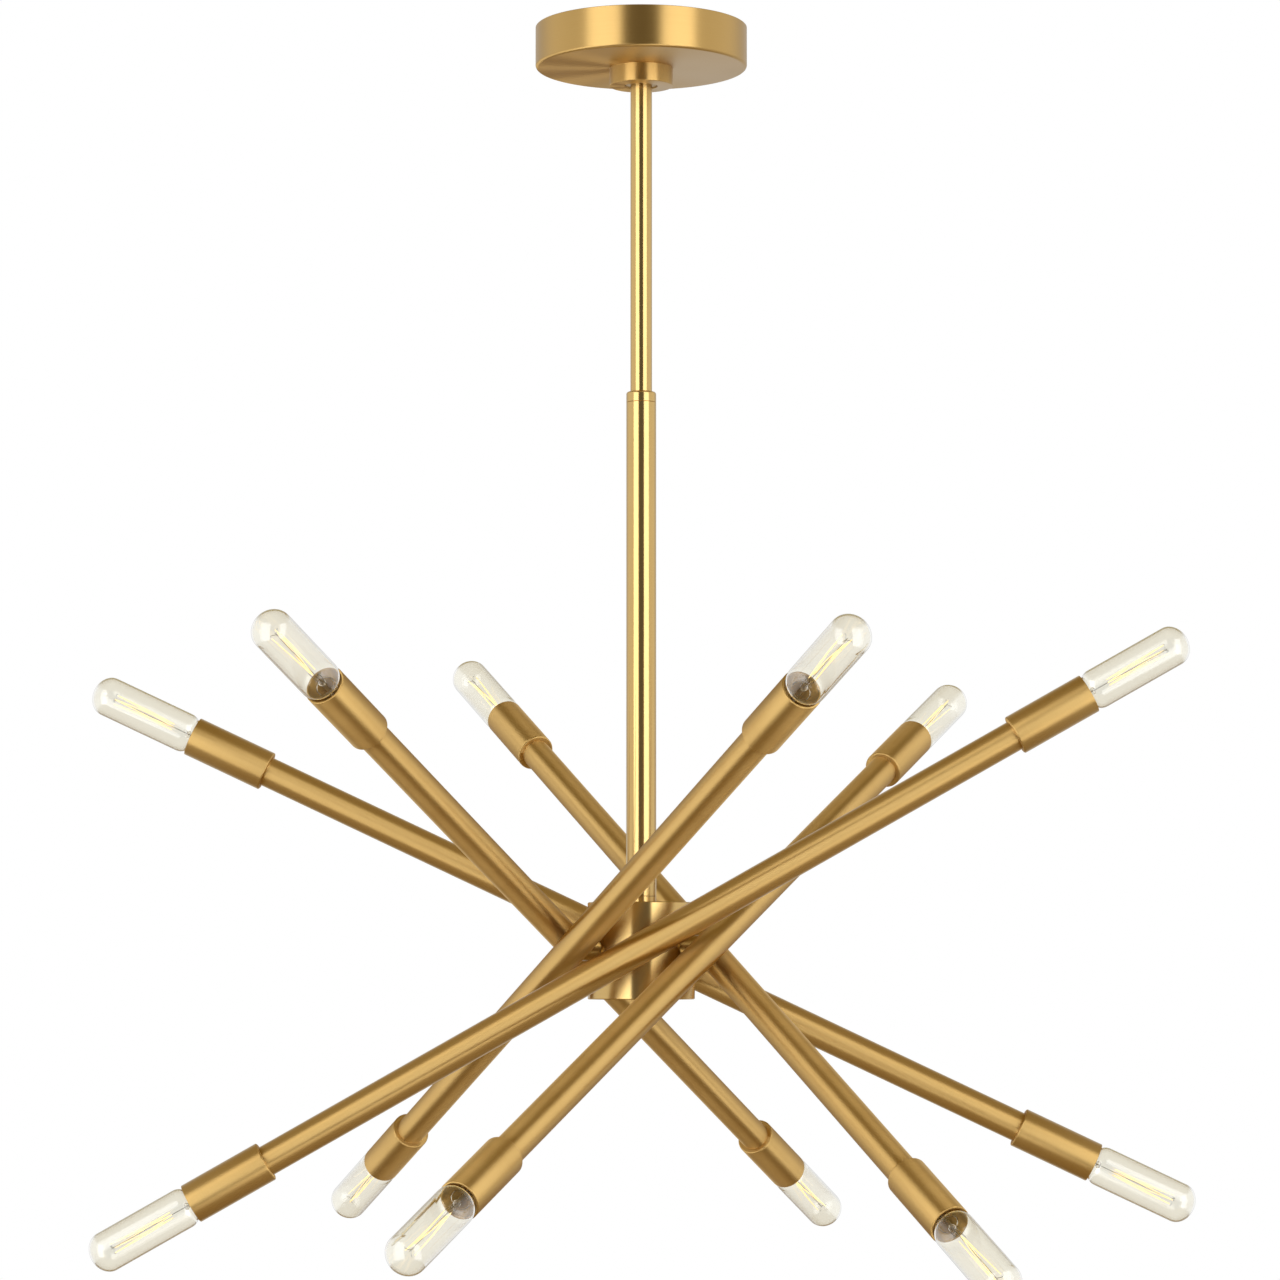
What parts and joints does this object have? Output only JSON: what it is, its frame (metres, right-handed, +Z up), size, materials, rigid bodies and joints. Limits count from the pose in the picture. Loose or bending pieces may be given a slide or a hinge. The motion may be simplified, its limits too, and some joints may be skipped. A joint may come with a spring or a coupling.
{
  "type": "sputnik chandelier",
  "caption": "Ceiling chandelier with straight double-ended arms set round a hub, tubular bulbs in cups, a stem and a canopy with a ball swivel.",
  "frame": {"origin": "centre of the ceiling bar's back face, on the ceiling", "axes": "+Z up to the ceiling, -Y towards the side that the picture was taken from"},
  "size_m": [0.7007, 0.6496, 0.7917],
  "materials": {
    "satin_brass": "satin brushed brass, lacquered",
    "polished_brass": "fine satin brass, near polished",
    "plain_brass": "turned brass",
    "zinc_steel": "zinc-plated steel",
    "nylon": "natural nylon",
    "moulded_socket": "moulded socket, off-white",
    "clear_glass": "clear blown glass, faintly warm",
    "cap_metal": "bright pressed screw cap",
    "filament": "filament wire, lit warm"
  },
  "bodies": {
    "ceiling_mount": {"canopy": "satin_brass", "ceiling_bar": "zinc_steel", "ceiling_bar_fasteners": "zinc_steel", "swivel_collar": "satin_brass", "swivel_cap": "plain_brass"},
    "swivel_seat": {"swivel_washer": "nylon"},
    "hanging_frame": {"swivel_ball": "plain_brass", "upper_stem": "polished_brass", "column_tube": "polished_brass", "column_rings": "polished_brass", "hub_shell": "polished_brass", "hub_cover": "polished_brass"},
    "arm_1": {"arm_tube_1": "satin_brass", "arm_stud_1": "plain_brass", "stud_nuts_1": "zinc_steel", "socket_cups_1": "satin_brass", "lamp_sockets_1": "moulded_socket", "bulb_glass_1": "clear_glass", "bulb_caps_1": "cap_metal", "bulb_filaments_1": "filament"},
    "arm_2": {"arm_tube_2": "satin_brass", "arm_stud_2": "plain_brass", "stud_nuts_2": "zinc_steel", "socket_cups_2": "satin_brass", "lamp_sockets_2": "moulded_socket", "bulb_glass_2": "clear_glass", "bulb_caps_2": "cap_metal", "bulb_filaments_2": "filament"},
    "arm_3": {"arm_tube_3": "satin_brass", "arm_stud_3": "plain_brass", "stud_nuts_3": "zinc_steel", "socket_cups_3": "satin_brass", "lamp_sockets_3": "moulded_socket", "bulb_glass_3": "clear_glass", "bulb_caps_3": "cap_metal", "bulb_filaments_3": "filament"},
    "arm_4": {"arm_tube_4": "satin_brass", "arm_stud_4": "plain_brass", "stud_nuts_4": "zinc_steel", "socket_cups_4": "satin_brass", "lamp_sockets_4": "moulded_socket", "bulb_glass_4": "clear_glass", "bulb_caps_4": "cap_metal", "bulb_filaments_4": "filament"},
    "arm_5": {"arm_tube_5": "satin_brass", "arm_stud_5": "plain_brass", "stud_nuts_5": "zinc_steel", "socket_cups_5": "satin_brass", "lamp_sockets_5": "moulded_socket", "bulb_glass_5": "clear_glass", "bulb_caps_5": "cap_metal", "bulb_filaments_5": "filament"},
    "arm_6": {"arm_tube_6": "satin_brass", "arm_stud_6": "plain_brass", "stud_nuts_6": "zinc_steel", "socket_cups_6": "satin_brass", "lamp_sockets_6": "moulded_socket", "bulb_glass_6": "clear_glass", "bulb_caps_6": "cap_metal", "bulb_filaments_6": "filament"}
  },
  "joints": [
    {"name": "swivel_turn", "type": "hinge", "parent": "ceiling_mount", "child": "swivel_seat", "pos_m": [0, 0, -0.0287], "axis": [0, 0, 1], "range_deg": [-175, 175]},
    {"name": "swivel_tilt", "type": "hinge", "parent": "swivel_seat", "child": "hanging_frame", "pos_m": [0, 0, -0.0287], "axis": [1, 0, 0], "range_deg": [-18, 18]},
    {"name": "arm_1_tilt", "type": "hinge", "parent": "hanging_frame", "child": "arm_1", "pos_m": [0.00025, -0.0479, -0.5806], "axis": [0.0052, -1, 0], "range_deg": [-6.6, 60.4]},
    {"name": "arm_2_tilt", "type": "hinge", "parent": "hanging_frame", "child": "arm_2", "pos_m": [0.04123, -0.02438, -0.5806], "axis": [0.8607, -0.509, 0], "range_deg": [-4, 63]},
    {"name": "arm_3_tilt", "type": "hinge", "parent": "hanging_frame", "child": "arm_3", "pos_m": [0.04161, 0.02373, -0.5806], "axis": [0.8686, 0.4955, 0], "range_deg": [-7.4, 59.6]},
    {"name": "arm_4_tilt", "type": "hinge", "parent": "hanging_frame", "child": "arm_4", "pos_m": [0.00033, 0.0479, -0.5806], "axis": [0.007, 1, 0], "range_deg": [-2.3, 64.7]},
    {"name": "arm_5_tilt", "type": "hinge", "parent": "hanging_frame", "child": "arm_5", "pos_m": [-0.04127, 0.02431, -0.5806], "axis": [-0.8616, 0.5075, 0], "range_deg": [-5.3, 61.7]},
    {"name": "arm_6_tilt", "type": "hinge", "parent": "hanging_frame", "child": "arm_6", "pos_m": [-0.04225, -0.02256, -0.5806], "axis": [-0.8821, -0.471, 0], "range_deg": [-4, 63]}
  ]
}
